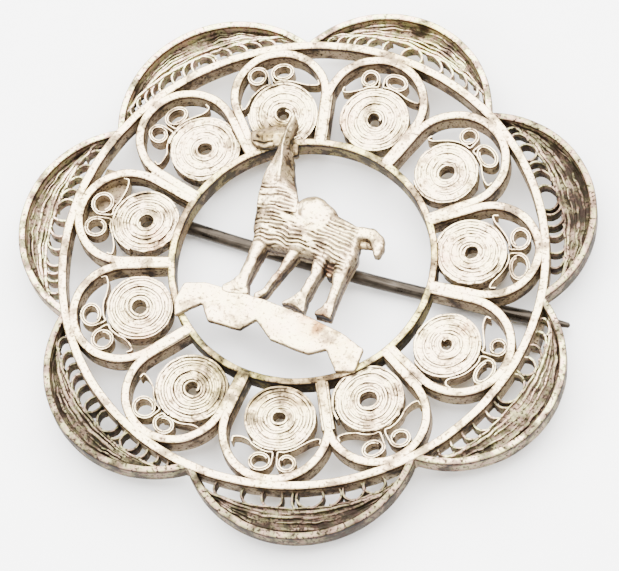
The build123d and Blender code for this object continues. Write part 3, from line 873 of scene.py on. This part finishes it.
def make_petals():
    """Seven petals: rim, wires along it, and scrolls against the ring."""
    for number, petal in enumerate(petals, 1):
        half, distance, radius = petal_circle(petal)
        middle = (petal.start + petal.end) / 2
        rim_line = radius - petal_rim / 2 - 0.03
        joint = degrees(atan2(outer_radius * sin(half), outer_radius * cos(half) - distance))
        path = turned(arc((distance, 0.0), rim_line, -joint, joint), middle)
        section = strip_section(petal_rim, rim_height, soft=0.12)
        look = dict(dull=petal.dull, speckle=0.5 + 0.6 * petal.dull, hues=grimy_hues, hue_grain=0.5)
        rim_wall = 0.46 - 0.25 * petal.dull
        rim_silver = silver_material(f"rim_silver_{number}", wall=rim_wall, patchy=0.58, **look)
        wire_silver = silver_material(f"wire_silver_{number}", wall=0.40, grime_and_shade=0.4, reach=0.3, patchy=0.45,
                                      **look)
        make_piece(f"petal_rim_{number}", [swept(path, rim_bottom, section)], rim_silver, shake=0.02)
        corners, faces = petal_bed(petal, number)
        sunk, raised = [(turned(corners, middle), faces)], []
        for k in range(petal_wires):
            share = (k / (petal_wires - 1)) ** 1.15
            first = -1.0 if (k + number) % 3 else -0.62 + 0.3 * sin(5 * k + number)
            last = 1.0 if (k + number) % 4 else 0.66 + 0.25 * sin(3 * k + 2 * number)
            line = turned(petal_wire(petal, share, first, last), middle)
            along = np.arange(len(line)) / len(line)
            wave = np.sin(along * (9 + 2.3 * k) + 2 * k + number)
            top = bed_height(share) + wire_rise + wire_wave * wave
            width = wire_width * (1 + 0.45 * sin(4 * k + number))
            tall = wire_height - wire_fall * share
            section = strip_section(width, tall, soft=0.35 * width)
            # Raised wires take wire_silver; the bed and the wires beside the rim take rim_silver, the darker
            # copy, which paints the rim's shade on them
            (raised if share < 0.5 else sunk).append(swept(line, top - tall, section))
        make_piece(f"petal_bed_{number}", sunk, rim_silver, shake=0.13, grain=0.7)
        make_piece(f"petal_wires_{number}", raised, wire_silver, shake=0.11, grain=0.8)
        parts = []
        section = strip_section(scroll_ribbon, scroll_height, soft=0.06, steps=2)
        for foot, head in petal.scrolls:
            line = turned(scroll_path(petal, foot, head), middle)
            top = ring_top - scroll_recess - np.linspace(0, scroll_fall, len(line))
            parts.append(swept(line, top - scroll_height, section))
        make_piece(f"petal_scrolls_{number}", parts, wire_silver)


def make_base_strip():
    """The ragged strip of sheet under the camel."""
    x, y = strip_corner
    outline = [(x + along * strip_length, y + up * strip_depth) for along, up in strip_outline]
    low = ring_top - strip_seat
    heights = (low, low + strip_thickness)
    mesh = mesh_of("base_strip", *prism(outline, lambda a, b, end: (a, b, heights[end])), bevel=0.1)
    remeshed(mesh, strip_grain, smooth=3)
    places, _ = mesh_places(mesh)
    places = shaken(places, amount=0.05, grain=1.6, seed=4)
    set_places(mesh, shaken(places, amount=0.02, grain=0.5, seed=9) * MM)
    finish_piece("base_strip", mesh, strip_silver, crease=60)


def limb(first, second, back):
    """The camel between two joints: a tapered capsule with a domed top and upright sides down to its back."""
    steps, rounds = 10, 32
    a, b = (np.array(camel_foot) + camel_height * np.array(joint[:2]) for joint in (first, second))
    ahead = (b - a) / np.linalg.norm(b - a)
    side = np.array([-ahead[1], ahead[0]])
    rows = []
    for middle, joint, sign in ((a, first, -1), (b, second, 1)):
        radius, top = joint.round * camel_height, ring_top + joint.top
        dome = min(0.6 * radius, 0.75)
        for k in range(steps) if sign < 0 else reversed(range(steps)):
            along, across = cos(pi / 2 * k / steps), sin(pi / 2 * k / steps)
            row = []
            for way in np.linspace(0, 2 * pi, rounds, endpoint=False):
                level = middle + ahead * sign * along * radius + side * across * radius * cos(way)
                rise = sin(way) * across
                row.append((*level, top - dome + dome * rise if rise >= 0 else back))
            rows.append(row)
    return np.array(rows).reshape(-1, 3), tube_faces(len(rows), rounds)


def loft(rows):
    """A part of the camel with a ridge between two edges, and upright sides down to the camel's back."""
    lines = []
    for row in rows:
        for along, up, top in (row[0:3], row[3:6], row[6:9]):
            lines += [camel_foot[0] + camel_height * along, camel_foot[1] + camel_height * up, ring_top + top]
    lines = smooth_path(np.array(lines).reshape(len(rows), 9), 0.35)
    corners = []
    for first, ridge, last in lines.reshape(-1, 3, 3):
        corners += [(*first[:2], camel_back), first, ridge, last, (*last[:2], camel_back)]
    return np.array(corners), tube_faces(len(lines), len(corners) // len(lines))


def held(value):
    """A value kept between 0 and 1."""
    return min(1.0, max(0.0, value))


def wool_depth(along, up):
    """How deep the wool's strokes go at a place: 0 between them, 1 in them."""
    hump = hypot((along + 0.015) / 0.098, (up - 0.535) / 0.110)
    fringe = 0.292 - 0.05 * held((along - 0.05) / 0.08) + 0.045 * max(0.0, 1 - abs(along - 0.035) / 0.04)
    neck = 0.625 - 0.55 * max(0.0, along + 0.20) if along < 0.05 else 0.53
    edges = (hump - 1.0) / 0.12, (up - fringe) / 0.01, (neck - up) / 0.02, (0.245 - along) / 0.02
    cover = min(1.0, *edges)
    if cover <= 0:
        return 0.0
    low = held((0.40 - up) / 0.06)
    bend = 0.010 * cos((along + 0.17) / 0.05) if along < -0.08 else 0.0
    drop = 0.09 * max(0.0, along - 0.02) * (1 + 0.8 * low)
    wave = 0.006 * low * sin(along / 0.017) * held((0.10 - along) / 0.05)
    wander = 0.009 * noise.noise(Vector((along / 0.07, up / 0.05, 5)))
    line = (up + drop - bend + wave + wander) / wool_spacing
    row, share = int(line // 1), line % 1
    broken = noise.noise(Vector((along / wool_length, row * 3.7, 2)))
    broken += 0.6 * noise.noise(Vector((row * 5.1, along / 0.2, 8)))
    flank = held((along - 0.05) / 0.06)
    stroke = held((broken + 0.38 + 0.12 * low + 0.35 * flank) / 0.25) * (1 - 0.2 * flank)
    return cover * stroke * held(1.25 - abs(share - 0.5) / 0.29)


def cut_share(along, up):
    """How deep the snout's cuts go at a place: 0 away from them, 1 in them."""
    place, deepest = np.array([along, up]), 0.0
    for cut in np.array([pair for chain in camel_cuts for pair in zip(chain, chain[1:])]):
        a, ahead = cut[0], cut[1] - cut[0]
        share = held(np.dot(place - a, ahead) / np.dot(ahead, ahead))
        away = np.linalg.norm(place - a - share * ahead) * camel_height
        deepest = max(deepest, 1 - away / cut_width)
    return deepest


def carving(place, normal):
    """How deep the camel is cut at a place, as a share."""
    if normal[2] < 0.1:
        return 0.0
    along, up = (place[:2] - camel_foot) / camel_height
    return cut_share(along, up) if up > 0.8 and along < -0.34 else wool_depth(along, up)


def make_camel():
    """The cast camel: limbs grown into one skin, with its wool cut in strokes."""
    parts = []
    for chains, back in ((camel_chains, camel_back), (tail_chains, tail_back)):
        parts += [limb(a, b, back) for chain in chains for a, b in zip(chain, chain[1:])]
    parts += [loft(rows) for rows in camel_lofts]
    mesh = mesh_of("camel", *joined(parts))
    remeshed(mesh, camel_grain, smooth=4)
    places, normals = mesh_places(mesh)
    depth = np.array([carving(p, n) for p, n in zip(places, normals)])
    places = places - normals * (depth * cut_depth)[:, None]
    places = shaken(places, amount=0.06, grain=1.1, seed=6)
    set_places(mesh, shaken(places, amount=0.03, grain=0.35, seed=2) * MM)
    wool = mesh.attributes.new("wool", "FLOAT", "POINT")
    wool.data.foreach_set("value", depth)
    finish_piece("camel", mesh, camel_silver, crease=70)


def make_finding(name, parts, bevel, seed):
    """The hinge or the catch from its parts, with no corner lower than the table."""
    mesh = mesh_of(name, *joined(parts), bevel)
    places, _ = mesh_places(mesh)
    places = shaken(places, amount=0.015, grain=1.0, seed=seed)
    set_places(mesh, np.maximum(places, (-np.inf, -np.inf, 0.0)) * MM)
    finish_piece(name, mesh, silver)


def make_findings():
    """The hinge's plate and ears, and the catch, behind the rings."""
    outside, inside = [], []
    for way in np.radians(np.linspace(0, 360, 48, endpoint=False)):
        reach = ear_radius
        if sin(way) > 0:
            reach = min(ear_radius / max(abs(cos(way)), 0.01), (stand_off + 0.05 - pin_height) / sin(way))
        outside.append((hinge_x + reach * cos(way), pin_height + reach * sin(way)))
        inside.append((hinge_x + rivet_hole_radius * cos(way), pin_height + rivet_hole_radius * sin(way)))
    parts = []
    for side in (-1, 1):
        near = pin_line + side * ear_gap / 2
        sides = (near, near + side * ear_thickness)
        parts.append(pierced_prism(outside, inside, lambda a, b, end, sides=sides: (a, sides[end], b)))
    half_width, half_depth = hinge_plate_width / 2, ear_gap / 2 + ear_thickness
    plate = [(a * half_width, b * half_depth) for a, b in ((-1, -1), (1, -1), (1, 1), (-1, 1))]
    heights = (stand_off, stand_off + hinge_plate_thickness)
    parts.append(prism(plate, lambda a, b, end: (hinge_x + a, pin_line + b, heights[end])))
    make_finding("hinge", parts, bevel=0.06, seed=3)

    drop = sqrt(catch_seat_radius**2 - catch_mouth**2)
    start = degrees(atan2(-drop, catch_mouth))
    seat = arc((catch_side, pin_height), catch_seat_radius, start, 180 - start)
    outline = [(catch_low, 0), (catch_low, catch_top), (catch_high, catch_top), (catch_high, 0)]
    outline += [(catch_side + catch_mouth, 0), *map(tuple, seat), (catch_side - catch_mouth, 0)]
    ends = (catch_x - catch_length / 2, catch_x + catch_length / 2)
    make_finding("catch", [prism(outline, lambda a, b, end: (ends[end], a, b))], bevel=0.05, seed=8)


def remeshed(mesh, size, smooth):
    """Makes a mesh one skin of even quads, and smooths it a little, in place."""
    holder = add_object("holder", mesh)
    skin = holder.modifiers.new("skin", "REMESH")
    skin.mode, skin.voxel_size = "VOXEL", size
    soft = holder.modifiers.new("soft", "SMOOTH")
    soft.iterations, soft.factor = smooth, 0.5
    shape = holder.evaluated_get(bpy.context.evaluated_depsgraph_get())
    made = bmesh.new()
    made.from_mesh(shape.to_mesh())
    made.to_mesh(mesh)
    made.free()
    bpy.data.objects.remove(holder)


def set_up_view():
    """The camera at the photo's angle to the brooch, the floor and the lights."""
    turn = Matrix.Rotation(radians(view_tilt), 3, "X") @ Matrix.Rotation(radians(view_lean), 3, "Y")
    turn = turn @ Matrix.Rotation(radians(view_spin), 3, "Z")
    camera = add_object("camera", bpy.data.cameras.new("camera"))
    camera.data.sensor_width = sensor_width
    camera.data.lens = sensor_width * focal_pixels / photo_width
    camera.data.clip_start, camera.data.clip_end = 0.01, 10.0
    place = (turn.transposed() @ -Vector(view_middle) + Vector((0, 0, ring_top))) * MM
    camera.matrix_world = Matrix.Translation(place) @ turn.transposed().to_4x4()
    bpy.context.scene.camera = camera

    floor_mesh = bpy.data.meshes.new("floor")
    build = bmesh.new()
    bmesh.ops.create_grid(build, x_segments=8, y_segments=8, size=1.5)
    build.to_mesh(floor_mesh)
    build.free()
    floor_mesh.materials.append(floor_material())
    floor = add_object("floor", floor_mesh)

    world = bpy.data.worlds.new("studio")
    world.use_nodes = True
    background = world.node_tree.nodes["Background"]
    background.inputs["Color"].default_value = (1.0, 0.94, 0.86, 1.0)
    background.inputs["Strength"].default_value = 0.35
    bpy.context.scene.world = world

    up = camera.matrix_world.to_3x3() @ Vector((0, 1, 0))
    back = Vector((up.x, up.y, 0)).normalized()
    right = Vector((back.y, -back.x, 0))
    for name, direction, size, power in (
        ("fill_front", -back * 1.0 + Vector((0, 0, 0.5)), 0.4, 3.0),
        ("softbox", back * 0.50 + Vector((0, 0, 1.0)), 0.9, 32.0),
        ("fill_left", -right * 1.0 - back * 0.5 + Vector((0, 0, 0.8)), 0.2, 3.0),
        ("fill_right", right * 1.0 + back * 0.1 + Vector((0, 0, 0.7)), 0.2, 2.0),
    ):
        light = add_object(name, bpy.data.lights.new(name, "AREA"))
        light.data.size, light.data.energy = size, power
        light.location = direction.normalized() * light_distance
        light.rotation_euler = light.location.to_track_quat("Z", "Y").to_euler()


set_up_view()
make_rings()
make_arches()
make_coils()
make_curls()
make_petals()
make_base_strip()
make_camel()
make_findings()

for node, material in (("pin_stem", steel), ("hinge_rivet", silver)):
    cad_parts[node].data.materials.clear()
    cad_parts[node].data.materials.append(material)
